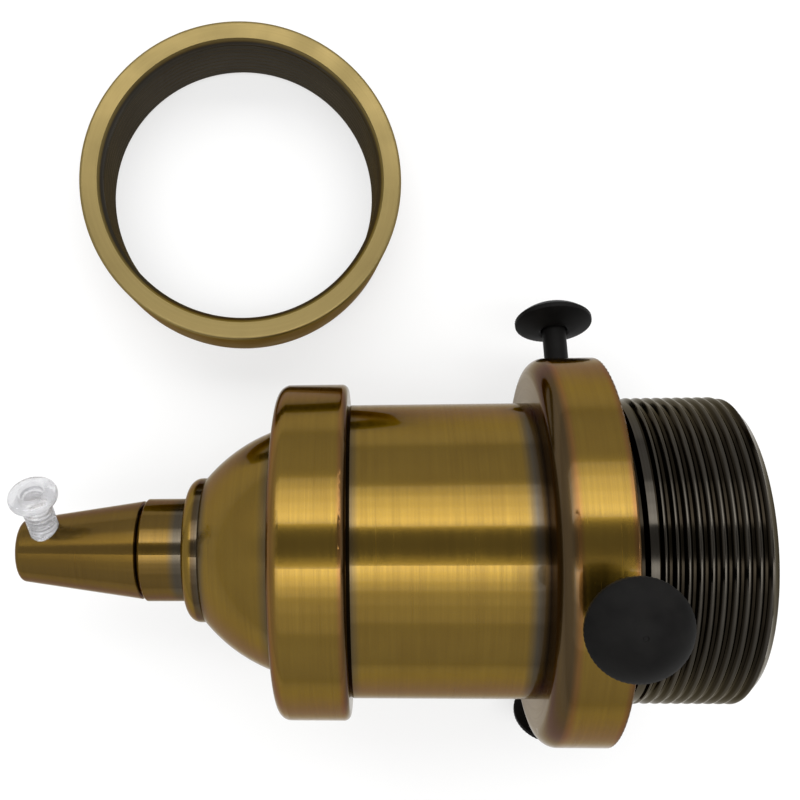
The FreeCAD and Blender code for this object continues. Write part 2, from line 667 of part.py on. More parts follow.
def terminal(side, rivet_offset):
    """Brass block with a wire hole, a tapped hole for its screw and a hole for its rivet."""
    start = TERMINAL_FACE - TERMINAL_LENGTH
    body = block(start, TERMINAL_FACE, TERMINAL_INSIDE, TERMINAL_OUTSIDE, TERMINAL_WIDTH, side)
    wire = rod(start, start + WIRE_HOLE_DEPTH, WIRE_HOLE_RADIUS, WIRE_HOLE_OFFSET, side)
    tapped = radial_hole(
        WIRE_HOLE_OFFSET, TERMINAL_OUTSIDE, TERMINAL_SCREW_RADIUS + THREAD_PLAY,
        start + TERMINAL_SCREW_INSET, side)
    rivet_start = TERMINAL_FACE - RIVET_GRIP
    rivet = rod(rivet_start, TERMINAL_FACE, RIVET_RADIUS + THREAD_PLAY, rivet_offset, side)
    return body.cut([wire, tapped, rivet])


def terminal_screws():
    """The two screws that clamp the wires."""
    station = TERMINAL_FACE - TERMINAL_LENGTH + TERMINAL_SCREW_INSET
    screws = []
    for side in (LIVE_SIDE, NEUTRAL_SIDE):
        screw = slotted_screw(
            TERMINAL_OUTSIDE - TERMINAL_SCREW_BITE, TERMINAL_OUTSIDE + THREAD_PLAY,
            TERMINAL_SCREW_RADIUS, TERMINAL_SCREW_HEAD_RADIUS, TERMINAL_SCREW_HEAD)
        screws.append(radial(screw, station, side))
    return Part.makeCompound(screws)


def rivet(start, head_face, offset, angle):
    """Rivet along the axis with its head towards the mouth."""
    shank = rod(start, head_face, RIVET_RADIUS, offset, angle)
    head = rod(head_face, head_face + RIVET_HEAD, RIVET_HEAD_RADIUS, offset, angle)
    return shank.fuse(head).removeSplitter()


def terminal_rivets():
    """Rivets that carry the current through the porcelain to the contact and the shell."""
    start = TERMINAL_FACE - RIVET_GRIP
    live_head = contact_height() + CONTACT_THICKNESS / 2 + CONTACT_AIR
    live = rivet(start, live_head, LIVE_RIVET_OFFSET, LIVE_SIDE)
    neutral = rivet(start, SHELL_START + SHELL_WALL, SHELL_RIVET_OFFSET, NEUTRAL_SIDE)
    return Part.makeCompound([live, neutral])


def shell_rivets():
    """Rivets that hold the shell on the porcelain."""
    rivets = []
    for angle in shell_rivet_angles():
        body = rivet(INSERT_BACK, SHELL_START + SHELL_WALL, SHELL_RIVET_OFFSET, angle)
        back = rod(INSERT_BACK, shell_rivet_seat(), RIVET_HEAD_RADIUS, SHELL_RIVET_OFFSET, angle)
        rivets.append(body.fuse(back).removeSplitter())
    return Part.makeCompound(rivets)


def shade_ring():
    """Threaded ring that holds a shade, lying flat on the floor beside the holder."""
    bore = SHADE_RING_BORE
    ring = turned([
        (0, bore + SHADE_RING_CHAMFER),
        (0, SHADE_RING_RADIUS, SHADE_RING_ROUND),
        (SHADE_RING_HEIGHT, SHADE_RING_RADIUS, SHADE_RING_ROUND),
        (SHADE_RING_HEIGHT, bore + SHADE_RING_CHAMFER),
        (SHADE_RING_HEIGHT - SHADE_RING_CHAMFER, bore),
        (SHADE_RING_CHAMFER, bore),
    ])
    ring.rotate(Vector(0, 0, 0), Vector(0, 1, 0), -90)
    aside = CAP_RIM_RADIUS + SHADE_RING_APART + SHADE_RING_RADIUS
    ring.translate(Vector(SHADE_RING_AHEAD, aside, 0))
    return ring


def holder_pieces():
    """Every piece of the holder, by name, in the holder's own frame."""
    pieces = {
        "cord_grip": cord_grip(),
        "grip_screw": grip_screw(),
        "neck_collar": neck_collar(),
        "nipple": nipple(),
        "nipple_locknut": nipple_locknut(),
        "cap": cap(),
        "earth_tag": earth_tag(),
        "earth_screw": earth_screw(),
        "barrel": barrel(),
        "gallery_ring": gallery_ring(),
        "threaded_sleeve": threaded_sleeve(),
        "insulating_washer": insulating_washer(),
        "insert_body": insert_body(),
        "screw_shell": screw_shell(),
        "centre_contact": centre_contact(),
        "live_terminal": terminal(LIVE_SIDE, LIVE_RIVET_OFFSET),
        "neutral_terminal": terminal(NEUTRAL_SIDE, SHELL_RIVET_OFFSET),
        "terminal_screws": terminal_screws(),
        "terminal_rivets": terminal_rivets(),
        "shell_rivets": shell_rivets(),
    }
    for name, angle in zip(("top", "side", "prop"), thumb_angles()):
        pieces["thumb_screw_" + name] = thumb_screw(angle)
    return pieces


def lay_down(shape):
    """Tilt a piece of the holder into its rest on the floor."""
    shape.rotate(Vector(0, 0, 0), Vector(0, 1, 0), -math.degrees(rest_tilt()))
    shape.translate(Vector(0, 0, axis_height(0)))
    return shape


def build():
    """All pieces in the part's frame, whose origin is under the middle of the whole."""
    pieces = {name: lay_down(shape) for name, shape in holder_pieces().items()}
    pieces["shade_ring"] = shade_ring()
    box = Part.makeCompound(list(pieces.values())).optimalBoundingBox(False)
    middle = Vector(-box.Center.x, -box.Center.y, -box.ZMin)
    for shape in pieces.values():
        shape.translate(middle)
    return pieces, middle


def main():
    os.makedirs("parts", exist_ok=True)
    pieces, middle = build()
    for name, shape in pieces.items():
        shape.exportStep("parts/" + name + ".step")
    print("origin shift", middle, "tilt", math.degrees(rest_tilt()), "thumbscrews", thumb_angles())


main()
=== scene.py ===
"""Look of an antique brass lamp holder that lies on its side, with its shade ring taken off."""

import json
import math

import bmesh
import bpy
from mathutils import Matrix, Vector

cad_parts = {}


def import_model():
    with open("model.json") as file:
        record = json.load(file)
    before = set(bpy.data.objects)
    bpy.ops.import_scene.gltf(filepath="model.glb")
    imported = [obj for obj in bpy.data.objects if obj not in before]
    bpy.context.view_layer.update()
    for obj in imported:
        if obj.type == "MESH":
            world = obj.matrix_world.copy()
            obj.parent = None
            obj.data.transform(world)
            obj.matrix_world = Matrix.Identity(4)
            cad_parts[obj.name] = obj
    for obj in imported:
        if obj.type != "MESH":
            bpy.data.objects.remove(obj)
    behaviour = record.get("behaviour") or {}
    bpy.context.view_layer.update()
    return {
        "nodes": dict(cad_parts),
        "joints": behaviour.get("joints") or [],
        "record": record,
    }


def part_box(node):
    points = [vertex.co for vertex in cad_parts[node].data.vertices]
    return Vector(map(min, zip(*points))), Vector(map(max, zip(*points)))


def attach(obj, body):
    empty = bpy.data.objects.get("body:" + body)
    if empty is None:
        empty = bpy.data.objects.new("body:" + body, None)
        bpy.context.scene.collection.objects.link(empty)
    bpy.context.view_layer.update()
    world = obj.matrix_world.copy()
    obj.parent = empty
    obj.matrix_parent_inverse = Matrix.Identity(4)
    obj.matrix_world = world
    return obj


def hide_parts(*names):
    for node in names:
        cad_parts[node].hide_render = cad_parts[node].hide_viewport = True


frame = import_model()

MM = 0.001
COLUMNS = 256             # steps round a turned piece
GRIP_COLUMNS = 128        # steps round the grip screw
THUMB_COLUMNS = 192       # steps round a thumb screw
CORNER_STEPS = 6          # steps of a rounded corner
MERGE = 0.001 * MM        # vertices nearer than this become one
PROBE = 1.0 * MM          # stretch at the end of a CAD node in which its radii are read
FLOOR_PROBE = 0.2 * MM    # the same at the bulb shell's thin floor
SAME = 0.01 * MM          # radii nearer than this are the same
SHARP_ANGLE = math.radians(32)

# Outside thread at the mouth, with a smooth collar before its first turn
SHADE_PITCH = 1.33 * MM
SHADE_DEPTH = 0.5 * MM
SHADE_RUN_OUT = 0.3 * MM  # stretch over which the thread fades at both ends
COLLAR_LEAD = 0.6 * MM    # collar ahead of the CAD's thread
COLLAR_SLOPE = 0.4 * MM
COLLAR_OVERLAP = 0.4 * MM  # collar on the CAD's thread
COLLAR_STEP = 0.05 * MM
COLLAR_DROP = 0.06 * MM   # below the crests

# Shade ring
RING_THREAD_DEPTH = 0.3 * MM
RING_LEAD = 0.85 * MM     # chamfer at both ends of the thread
RING_EDGE = 0.5 * MM

# Rolled bulb shell
BULB_PITCH = 3.63 * MM
BULB_DEPTH = 0.85 * MM
BULB_WALL = 0.33 * MM
BULB_RUN_OUT = 1.5 * MM
BULB_FOOT = 2.0 * MM      # plain stretch over the floor
BULB_LIP = 0.4 * MM       # plain stretch at the mouth

# Grip screw
GRIP_PITCH = 0.7 * MM
GRIP_DEPTH = 0.3 * MM
GRIP_RUN_OUT = 0.5 * MM
GRIP_POINT = 0.5 * MM     # plain tip ahead of the thread
GRIP_TAPER = 0.2 * MM     # of the tip below the thread's root
GRIP_NECK = 0.4 * MM      # plain neck under the head
GRIP_NECK_RISE = 0.05 * MM
GRIP_FLARE = 0.35 * MM    # widening of the neck at the head
GRIP_EDGE = 0.45 * MM
GRIP_CROWN = 0.55         # share of the head's height between its edges that its slope takes
GRIP_FACE_BAND = 0.5 * MM  # the head's face is read this near to its full radius
GRIP_RECESS = 1.6 * MM
GRIP_RECESS_DEPTH = 1.4 * MM
GRIP_RECESS_CONE = 0.25 * MM
GRIP_LIP = 0.15 * MM      # bevel of the recess
GRIP_DISH = 0.5 * MM      # slope round the recess
GRIP_DISH_DEPTH = 0.1 * MM

# Thumb screws
THUMB_RIM = 0.7 * MM
THUMB_EDGE = 0.22 * MM
THUMB_BOSS = 0.6 * MM     # hollow curve from the stem to the head's sloping underside
THUMB_POINT = 0.3 * MM    # chamfer of the tip
THUMB_FACE_BAND = 1.2 * MM
THUMB_DOME_STEPS = 18
KNURL_COUNT = 60
KNURL_DEPTH = 0.05 * MM
GATE_RADIUS = 0.24 * MM   # dimple at the top of the head
GATE_MOUTH = 0.32 * MM
GATE_DEPTH = 0.1 * MM

# One turn of a thread: share of the pitch, share of the depth
THREAD_SHAPE = (
    (0.0, 0.0), (0.12, 0.08), (0.4, 0.94), (0.46, 1.0), (0.54, 1.0), (0.6, 0.94), (0.88, 0.08),
)
ROUND_STEPS = 12
ROUND_SHAPE = tuple(
    (step / ROUND_STEPS, 0.5 - 0.5 * math.cos(math.tau * step / ROUND_STEPS)) for step in range(ROUND_STEPS)
)

# Camera and light
CAMERA_PLACE = Vector((-11.72, -9.16, 160.1)) * MM
CAMERA_TURN = Vector((0.0297, -0.0348, -0.009))    # axis times angle, from looking straight down
CAMERA_LENS = 45.45       # millimetres, as the sensor
CAMERA_SENSOR = 36.0
CAMERA_SHIFT = (0.1, 0.022)
CAMERA_CLIP = 0.01
FLOOR_SIZE = 6.0
FLOOR_TONE = (0.86, 0.86, 0.85)
FLOOR_GLOW = 0.6          # share of plain white that the floor shows
PANEL_DISTANCE = 0.8
PANEL_LENGTH = 1.1
PANEL_AIM = 50 * MM       # station of the holder under the panels' middle
# Strips of the two soft panels: degrees from straight up towards +Y, brightness
PANELS = (
    (45.0, 53.0, 1.4), (36.0, 45.0, 2.4), (29.0, 36.0, 3.3), (22.0, 29.0, 4.3),
    (-12.0, -3.5, 4.6), (-18.0, -12.0, 3.0), (-25.0, -18.0, 1.8), (-36.0, -25.0, 0.8), (-50.0, -36.0, 0.4),
)
# Grey of the room from the horizon up: height, level
ROOM = ((0.0, 0.72), (0.12, 0.82), (0.4, 0.9), (0.75, 0.78), (0.93, 0.34))
ROOM_BLUE = 1.01          # a trace more blue than red and green

# Tones, in linear light; a pair is what a finish wanders between
BRASS = (0.185, 0.115, 0.016)
DEEP_BRASS = (0.125, 0.074, 0.011)
# Painted highlight: copper-orange lines on the rounded corners
COPPER_GLINT = (0.17, 0.082, 0.02)
# Painted reflection: grey that stands for neighbouring parts mirrored beside the joints
GREY_REFLECTION = (0.07, 0.057, 0.038)
# The next two tones are painted shade, for the creases and for the deep gaps between parts
CREASE_SHADE = (0.07, 0.044, 0.016)
GAP_SHADE = (0.022, 0.014, 0.008)
BRONZE = (0.016, 0.013, 0.009)
WORN_BRONZE = (0.055, 0.05, 0.042)
SPECK = (0.3, 0.22, 0.15)
SATIN_BRASS = ((0.23, 0.175, 0.07), (0.2, 0.155, 0.062))
BLACK = ((0.004, 0.0038, 0.0036), (0.007, 0.0066, 0.0062))
NYLON = ((0.86, 0.86, 0.87), (0.7, 0.7, 0.72))
BRIGHT_BRASS = ((0.62, 0.46, 0.19), (0.5, 0.33, 0.12))
PORCELAIN = ((0.78, 0.76, 0.7), (0.7, 0.67, 0.6))
FIBRE = ((0.11, 0.035, 0.02), (0.06, 0.02, 0.012))
STEEL = ((0.5, 0.5, 0.49), (0.38, 0.38, 0.39))
# What stains and brushed lines multiply a tone by
BRASS_CLOUDS = (0.75, 0.68, 0.6)
BRASS_LINES = (0.72, 0.68, 0.62)
RING_LINES = (0.7, 0.66, 0.6)
THREAD_LINES = (0.5, 0.45, 0.4)
# Tints of the metals' reflections at a glancing angle
BRASS_TINT = (0.5, 0.4, 0.26, 1.0)
RING_TINT = (0.5, 0.4, 0.22, 1.0)
THREAD_TINT = (0.65, 0.62, 0.56, 1.0)
# How slowly brushed lines change on their way round a piece
LINE_DRIFT = (0.012, 0.02, 0.016)


def opaque(colour):
    """Colour with its alpha; another node's output stays as it is."""
    return (*colour, 1.0) if isinstance(colour, tuple) else colour


def set_stops(ramp, stops):
    """Give a Color Ramp node its (position, colour) stops."""
    elements = ramp.color_ramp.elements
    while len(elements) < len(stops):
        elements.new(0.5)
    for element, (position, colour) in zip(elements, stops):
        element.position = position
        element.color = opaque(colour)


class Spindle:
    """A straight line that pieces are turned about; angles run from up towards its side."""

    def __init__(self, start, axis, up):
        self.start = Vector(start)
        self.axis = Vector(axis).normalized()
        self.up = (Vector(up) - self.axis * self.axis.dot(up)).normalized()
        self.side = self.up.cross(self.axis)

    def point(self, station, radius, angle):
        """Place in the frame of a station, a radius and an angle."""
        out = self.up * math.cos(angle) + self.side * math.sin(angle)
        return self.start + self.axis * station + out * radius

    def rings(self, node):
        """(station, radius) of every vertex of a CAD node."""
        found = []
        for vertex in frame["nodes"][node].data.vertices:
            offset = vertex.co - self.start
            station = offset.dot(self.axis)
            found.append((station, (offset - self.axis * station).length))
        return found

    def span(self, node):
        """Lowest and highest station of a CAD node."""
        stations = [station for station, _ in self.rings(node)]
        return min(stations), max(stations)

    def radii(self, node, low, high):
        """Smallest and largest radius of a CAD node's vertices between two stations."""
        radii = [radius for station, radius in self.rings(node) if low <= station <= high]
        return min(radii), max(radii)


class Finish:
    """One material: a Principled shader and the nodes that feed it."""

    def __init__(self, name, settings):
        self.material = bpy.data.materials.new(name)
        self.material.use_nodes = True
        self.tree = self.material.node_tree
        self.shader = self.tree.nodes["Principled BSDF"]
        for socket, value in settings.items():
            self.shader.inputs[socket].default_value = value
        self.place = self.add("ShaderNodeTexCoord", {}).outputs["Object"]

    def add(self, kind, inputs, **attributes):
        """Node whose inputs take plain values or other nodes' outputs."""
        node = self.tree.nodes.new(kind)
        for attribute, value in attributes.items():
            setattr(node, attribute, value)
        for socket, value in inputs.items():
            if isinstance(value, bpy.types.NodeSocket):
                self.tree.links.new(value, node.inputs[socket])
            else:
                node.inputs[socket].default_value = value
        return node

    def math(self, operation, first, second=0.0):
        """Result of a Math node."""
        return self.add("ShaderNodeMath", {0: first, 1: second}, operation=operation).outputs[0]

    def vector(self, operation, first, second=(0, 0, 0)):
        """Vector result of a Vector Math node."""
        node = self.add("ShaderNodeVectorMath", {0: first, 1: second}, operation=operation)
        return node.outputs["Vector"]

    def measure(self, operation, first, second=(0, 0, 0)):
        """Plain result of a Vector Math node."""
        node = self.add("ShaderNodeVectorMath", {0: first, 1: second}, operation=operation)
        return node.outputs["Value"]

    def noise(self, where, scale, detail=3.0, roughness=0.55):
        """Noise from 0 to 1 at a scale in cycles for each metre."""
        inputs = {"Vector": where, "Scale": scale, "Detail": detail, "Roughness": roughness}
        return self.add("ShaderNodeTexNoise", inputs).outputs["Fac"]

    def ramp(self, factor, stops):
        """Colour along a factor, from (factor, colour) stops."""
        node = self.add("ShaderNodeValToRGB", {"Fac": factor})
        set_stops(node, stops)
        return node.outputs["Color"]

    def scaled(self, factor, low, high, start=0.3, end=0.7):
        """Factor between start and end spread over low to high."""
        inputs = {"Value": factor, "From Min": start, "From Max": end, "To Min": low, "To Max": high}
        return self.add("ShaderNodeMapRange", inputs).outputs["Result"]

    def blend(self, factor, first, second, mode="MIX"):
        """Two colours mixed; the Mix node's sockets for colours are 6 and 7, and its colour result is 2."""
        inputs = {0: factor, 6: opaque(first), 7: opaque(second)}
        return self.add("ShaderNodeMix", inputs, data_type="RGBA", blend_type=mode).outputs[2]

    def mottled(self, noise, tones, strength=1.0):
        """Pair of tones in patches that follow a noise."""
        return self.blend(self.scaled(noise, 0.0, strength), *tones)

    def stained(self, noise, colour, stain, strength):
        """Colour multiplied by a stain where a noise is high."""
        return self.blend(self.scaled(noise, 0.0, strength), colour, stain, "MULTIPLY")

    def roughen(self, noise, low, high):
        """Roughness that follows a noise between two values."""
        self.feed("Roughness", self.scaled(noise, low, high))

    def bump(self, height, distance, strength=1.0):
        """Feed the shader's normal from a height."""
        inputs = {"Height": height, "Distance": distance, "Strength": strength}
        self.feed("Normal", self.add("ShaderNodeBump", inputs).outputs["Normal"])

    def feed(self, socket, value):
        """Link a result to the shader."""
        self.tree.links.new(value, self.shader.inputs[socket])


def grid_mesh(spindle, rows):
    """Skin over rows of (station, radius), each row once round the spindle."""
    mesh = bmesh.new()
    columns = len(rows[0]) - 1
    angles = [math.tau * column / columns for column in range(columns + 1)]
    grid = [
        [mesh.verts.new(spindle.point(*spot, angle)) for spot, angle in zip(row, angles)] for row in rows
    ]
    for lower, upper in zip(grid, grid[1:]):
        for column in range(columns):
            corners = (lower[column], lower[column + 1], upper[column + 1], upper[column])
            mesh.faces.new(corners)
    bmesh.ops.remove_doubles(mesh, verts=mesh.verts, dist=MERGE)
    bmesh.ops.dissolve_degenerate(mesh, edges=mesh.edges, dist=MERGE)
    bmesh.ops.recalc_face_normals(mesh, faces=mesh.faces)
    return mesh


def plain_rows(corners, columns=COLUMNS):
    """Rows that are the same all the way round."""
    return [[corner] * (columns + 1) for corner in corners]


def thread_rows(start, end, pitch, root, crest, run_out, shape=THREAD_SHAPE, columns=COLUMNS):
    """Rows of a helical thread between two stations, fading to its root at both ends."""
    rows = []
    for turn in range(-1, math.ceil((end - start) / pitch) + 1):
        for share, height in shape:
            row = []
            for column in range(columns + 1):
                along = start + pitch * (turn + share + column / columns)
                station = min(max(along, start), end)
                fade = min(1.0, (station - start) / run_out, (end - station) / run_out)
                row.append((station, root + (crest - root) * height * fade))
            rows.append(row)
    return rows


def rippled(row, count, depth):
    """Row with shallow knurling cut into it."""
    steps = len(row) - 1
    return [
        (station, radius - depth * (0.5 - 0.5 * math.cos(math.tau * count * column / steps)))
        for column, (station, radius) in enumerate(row)
    ]


def arc(centre, radius, start, end, steps=CORNER_STEPS):
    """Points of a rounded corner in (station, radius), by angles from the axis."""
    angles = [start + (end - start) * step / steps for step in range(steps + 1)]
    return [(centre[0] + radius * math.cos(a), centre[1] + radius * math.sin(a)) for a in angles]


def make_piece(name, mesh, material, body, replaced):
    """Object from a bmesh that rides on a body and stands for a CAD node."""
    data = bpy.data.meshes.new(name)
    mesh.to_mesh(data)
    mesh.free()
    data.polygons.foreach_set("use_smooth", [True] * len(data.polygons))
    data.set_sharp_from_angle(angle=SHARP_ANGLE)
    data.materials.append(material)
    piece = bpy.data.objects.new(name, data)
    bpy.context.scene.collection.objects.link(piece)
    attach(piece, body)
    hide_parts(replaced)
    return piece


def dress(node, material):
    """Give a carried-over CAD node its finish."""
    data = frame["nodes"][node].data
    data.materials.clear()
    data.materials.append(material)


# ---------------------------------------------------------------- where things are

MOUNTS = {mount["name"]: mount for mount in frame["record"]["mounts"]}
JOINTS = {joint["name"]: joint for joint in frame["joints"]}
SOCKET_AXIS = Vector(MOUNTS["bulb_socket"]["axis"])
# The holder's stations count from its cord end, and the ring's from the floor
HOLDER = Spindle(MOUNTS["bulb_socket"]["pos_m"], SOCKET_AXIS, (0, 0, 1))
HOLDER.start = HOLDER.start + HOLDER.axis * HOLDER.span("cord_grip")[0]
RING = Spindle(MOUNTS["shade_ring_thread"]["pos_m"], (0, 0, 1), (0, 1, 0))
RING.start.z = 0.0


class Screw(Spindle):
    """Line and sizes of a screw that stands square to the holder's axis, its stations from that axis."""

    def __init__(self, node, face_band):
        low, high = HOLDER.span(node)
        foot = HOLDER.start + HOLDER.axis * (low + high) / 2
        outward = Vector(JOINTS[node + "_travel"]["axis"]).normalized()
        low_corner, high_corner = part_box(node)
        if outward.dot((low_corner + high_corner) / 2 - foot) < 0:
            outward = -outward
        super().__init__(foot, outward, HOLDER.axis)
        rings = self.rings(node)
        head_radius = max(radius for _, radius in rings)
        self.head_radius = head_radius
        self.head_face = min(station for station, radius in rings if radius > head_radius - face_band)
        self.tip, self.top = self.span(node)
        _, self.shank = self.radii(node, self.tip, self.tip + PROBE)


# ---------------------------------------------------------------- finishes


def turned_metal(name, spindle, settings, grain=3000.0):
    """Metal brushed round a spindle; returns the finish, station, radius, streaks and clouds."""
    brushing = {"Metallic": 1.0, "Anisotropic": 0.8, "Anisotropic Rotation": 0.25}
    finish = Finish(name, {**brushing, **settings})
    offset = finish.vector("SUBTRACT", finish.place, tuple(spindle.start))
    station = finish.measure("DOT_PRODUCT", offset, tuple(spindle.axis))
    around = finish.vector("CROSS_PRODUCT", offset, tuple(spindle.axis))
    radius = finish.measure("LENGTH", around)
    finish.feed("Tangent", finish.vector("NORMALIZE", around))
    drift = finish.measure("DOT_PRODUCT", offset, LINE_DRIFT)
    lines = finish.add("ShaderNodeCombineXYZ", {"X": station, "Y": radius, "Z": drift}).outputs[0]
    streaks = finish.noise(lines, grain, detail=4.0, roughness=0.7)
    clouds = finish.noise(finish.place, 160.0)
    return finish, station, radius, streaks, clouds


def antique_brass(node, tones):
    """Lacquered antique brass; tones are (millimetres from the cord end, colour) along a node, among them
    painted shade, painted reflections and painted highlights at the joints and corners.
    """
    low, high = HOLDER.span(node)
    settings = {"Coat Weight": 0.24, "Coat Roughness": 0.06, "Specular Tint": BRASS_TINT}
    finish, station, _, streaks, clouds = turned_metal("antique_brass_" + node, HOLDER, settings)
    share = finish.scaled(station, 0.0, 1.0, start=low, end=high)
    spread = (high - low) / MM
    stops = [(min(max((place - low / MM) / spread, 0.0), 1.0), tone) for place, tone in tones]
    dimmed = finish.stained(clouds, finish.ramp(share, stops), BRASS_CLOUDS, 0.35)
    finish.feed("Base Color", finish.stained(streaks, dimmed, BRASS_LINES, 0.5))
    finish.roughen(streaks, 0.19, 0.28)
    finish.bump(streaks, 0.004 * MM, strength=0.5)
    return finish.material


def satin_ring():
    """Satin brass of the shade ring, dark inside its thread, with darker brass on its outer wall as painted
    shade.
    """
    low, high = RING.span("shade_ring")
    settings = {"Anisotropic": 0.3, "Specular Tint": RING_TINT}
    finish, station, radius, streaks, clouds = turned_metal("satin_brass", RING, settings)
    bore = MOUNTS["shade_ring_thread"]["dims"]["r_mm"] * MM
    outside = finish.scaled(radius, 0.0, 1.0, start=bore + 0.4 * MM, end=bore + 0.75 * MM)
    upward = finish.scaled(station, 0.0, 1.0, start=high - 0.6 * MM, end=high - 0.25 * MM)
    # The dark bronze in the bore is the thread's own colour; the darker brass outside it is painted shade
    # under the lit top face
    bore_and_shaded_wall = finish.blend(outside, WORN_BRONZE, DEEP_BRASS)
    face = finish.mottled(clouds, SATIN_BRASS, 0.6)
    colour = finish.blend(upward, bore_and_shaded_wall, face)
    finish.feed("Base Color", finish.stained(streaks, colour, RING_LINES, 0.35))
    finish.roughen(clouds, 0.36, 0.46)
    finish.bump(streaks, 0.006 * MM, strength=0.5)
    return finish.material


def thread_bronze():
    """Near-black bronze of the threaded sleeve, worn lighter on the crests."""
    settings = {"Anisotropic": 0.5, "Specular Tint": THREAD_TINT}
    finish, _, radius, streaks, clouds = turned_metal("thread_bronze", HOLDER, settings, grain=1800.0)
    crest = MOUNTS["shade_thread"]["dims"]["r_mm"] * MM
    height = finish.scaled(radius, 0.0, 1.0, start=crest - 0.22 * MM, end=crest - 0.04 * MM)
    worn = finish.blend(height, BRONZE, WORN_BRONZE)
    finish.feed("Base Color", finish.stained(streaks, worn, THREAD_LINES, 0.6))
    finish.roughen(clouds, 0.12, 0.2)
    finish.bump(clouds, 0.006 * MM, strength=0.4)
    return finish.material


def black_metal():
    """Blackened thumb screws, matt with a faint orange peel."""
    finish = Finish("blackened_brass", {"Metallic": 0.0, "Specular IOR Level": 0.05})
    grain = finish.noise(finish.place, 2500.0, detail=4.0)
    clouds = finish.noise(finish.place, 350.0, detail=2.0)
    finish.feed("Base Color", finish.mottled(clouds, BLACK))
    finish.roughen(clouds, 0.4, 0.52)
    finish.bump(grain, 0.01 * MM, strength=0.5)
    return finish.material


def clear_nylon():
    """Cloudy clear nylon of the cord grip's screw."""
    settings = {"Metallic": 0.0, "IOR": 1.5, "Transmission Weight": 0.75, "Specular IOR Level": 0.5}
    finish = Finish("clear_nylon", settings)
    clouds = finish.noise(finish.place, 700.0)
    finish.feed("Base Color", finish.mottled(clouds, NYLON))
    finish.roughen(clouds, 0.14, 0.3)
    finish.bump(clouds, 0.05 * MM, strength=0.5)
    return finish.material


def plain_metal(name, tones, smoothest, roughest):
    """Metal of the small parts inside, with faint stains."""
    finish = Finish(name, {"Metallic": 1.0})
    clouds = finish.noise(finish.place, 500.0)
    finish.feed("Base Color", finish.mottled(clouds, tones))
    finish.roughen(clouds, smoothest, roughest)
    finish.bump(finish.noise(finish.place, 3000.0), 0.006 * MM, strength=0.4)
    return finish.material


def glazed_porcelain():
    """Glazed porcelain of the insert."""
    settings = {"Metallic": 0.0, "Coat Weight": 0.6, "Coat Roughness": 0.08}
    finish = Finish("glazed_porcelain", settings)
    clouds = finish.noise(finish.place, 220.0)
    grain = finish.noise(finish.place, 2200.0, detail=2.0)
    specks = finish.scaled(grain, 0.0, 0.8, start=0.68, end=0.8)
    finish.feed("Base Color", finish.blend(specks, finish.mottled(clouds, PORCELAIN), SPECK))
    finish.roughen(clouds, 0.2, 0.32)
    finish.bump(clouds, 0.03 * MM, strength=0.5)
    return finish.material


def red_fibre():
    """Pressed fibre of the insulating washer."""
    finish = Finish("red_fibre", {"Metallic": 0.0})
    drawn_out = finish.vector("MULTIPLY", finish.place, (0.3, 1.0, 1.0))
    threads = finish.noise(drawn_out, 2600.0, detail=4.0)
    finish.feed("Base Color", finish.mottled(threads, FIBRE))
    finish.roughen(threads, 0.6, 0.8)
    finish.bump(threads, 0.03 * MM, strength=0.6)
    return finish.material


# ---------------------------------------------------------------- pieces


def threaded_sleeve(material):
    """Sleeve at the mouth with the shade's thread cut round it, after a smooth collar."""
    mount = MOUNTS["shade_thread"]
    middle = (Vector(mount["pos_m"]) - HOLDER.start).dot(HOLDER.axis)
    half = mount["dims"]["length_mm"] * MM / 2
    start, end = middle - half, middle + half
    crest = mount["dims"]["r_mm"] * MM
    root = crest - SHADE_DEPTH
    low, mouth = HOLDER.span("threaded_sleeve")
    bore, tail = HOLDER.radii("threaded_sleeve", low - PROBE, low + PROBE)
    _, plain = HOLDER.radii("threaded_sleeve", low - PROBE, start - 2 * PROBE)
    rings = sorted(HOLDER.rings("threaded_sleeve"))
    shoulder = next(station for station, radius in rings if radius > plain - SAME)
    collar = crest - COLLAR_DROP
    collar_start = start - COLLAR_LEAD
    thread_start = start + COLLAR_OVERLAP
    behind = [
        (low, bore), (low, tail), (shoulder, tail), (shoulder, plain),
        (collar_start - COLLAR_SLOPE, plain), (collar_start, collar), (thread_start - COLLAR_STEP, collar),
    ]
    thread = thread_rows(thread_start, end, SHADE_PITCH, root, crest, SHADE_RUN_OUT)
    ahead = [(mouth, root - (mouth - end)), (mouth, bore), (low, bore)]
    mesh = grid_mesh(HOLDER, plain_rows(behind) + thread + plain_rows(ahead))
    return make_piece("threaded_sleeve_cut", mesh, material, "holder", "threaded_sleeve")


def shade_ring(material):
    """Shade ring with its inside thread."""
    low, high = RING.span("shade_ring")
    bore = MOUNTS["shade_ring_thread"]["dims"]["r_mm"] * MM
    _, outside = RING.radii("shade_ring", low, high)
    edge = outside - RING_EDGE
    face = [(high, bore + RING_LEAD)]
    face += arc((high - RING_EDGE, edge), RING_EDGE, 0.0, math.pi / 2)
    face += arc((low + RING_EDGE, edge), RING_EDGE, math.pi / 2, math.pi)
    face += [(low, bore + RING_LEAD)]
    root = bore + RING_THREAD_DEPTH
    thread = thread_rows(low + RING_LEAD, high - RING_LEAD, SHADE_PITCH, root, bore, SHADE_RUN_OUT)
    mesh = grid_mesh(RING, plain_rows(face) + thread + plain_rows(face[:1]))
    return make_piece("shade_ring_cut", mesh, material, "holder", "shade_ring")


